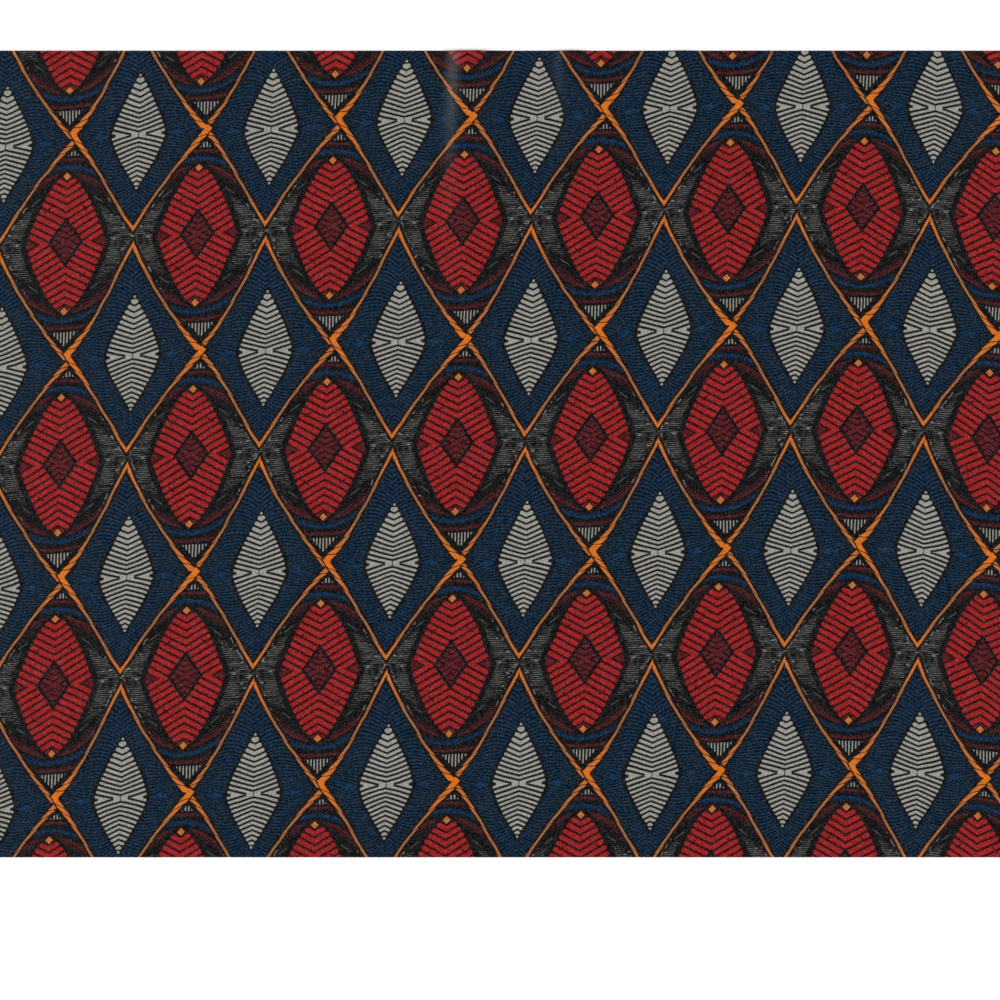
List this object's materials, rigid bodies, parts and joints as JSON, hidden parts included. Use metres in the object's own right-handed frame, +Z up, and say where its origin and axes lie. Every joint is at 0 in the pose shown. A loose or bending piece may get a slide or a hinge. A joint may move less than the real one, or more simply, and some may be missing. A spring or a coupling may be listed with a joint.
{
  "type": "coated fabric cut",
  "caption": "Rectangular cut of coated printed cotton, laid flat with its printed face up, with low soft buckles running in from one long edge.",
  "frame": {"origin": "middle of the cloth's underside, on the surface that it lies on", "axes": "+X along the long edges, +Y across the cut towards the edge that the buckles run in from, +Z up, out of the printed face"},
  "size_m": [0.4, 0.285, 0.0026],
  "materials": {
    "coated_cotton": "printed cotton under a clear satin coating"
  },
  "bodies": {
    "root": {"cloth": "coated_cotton"}
  },
  "joints": []
}
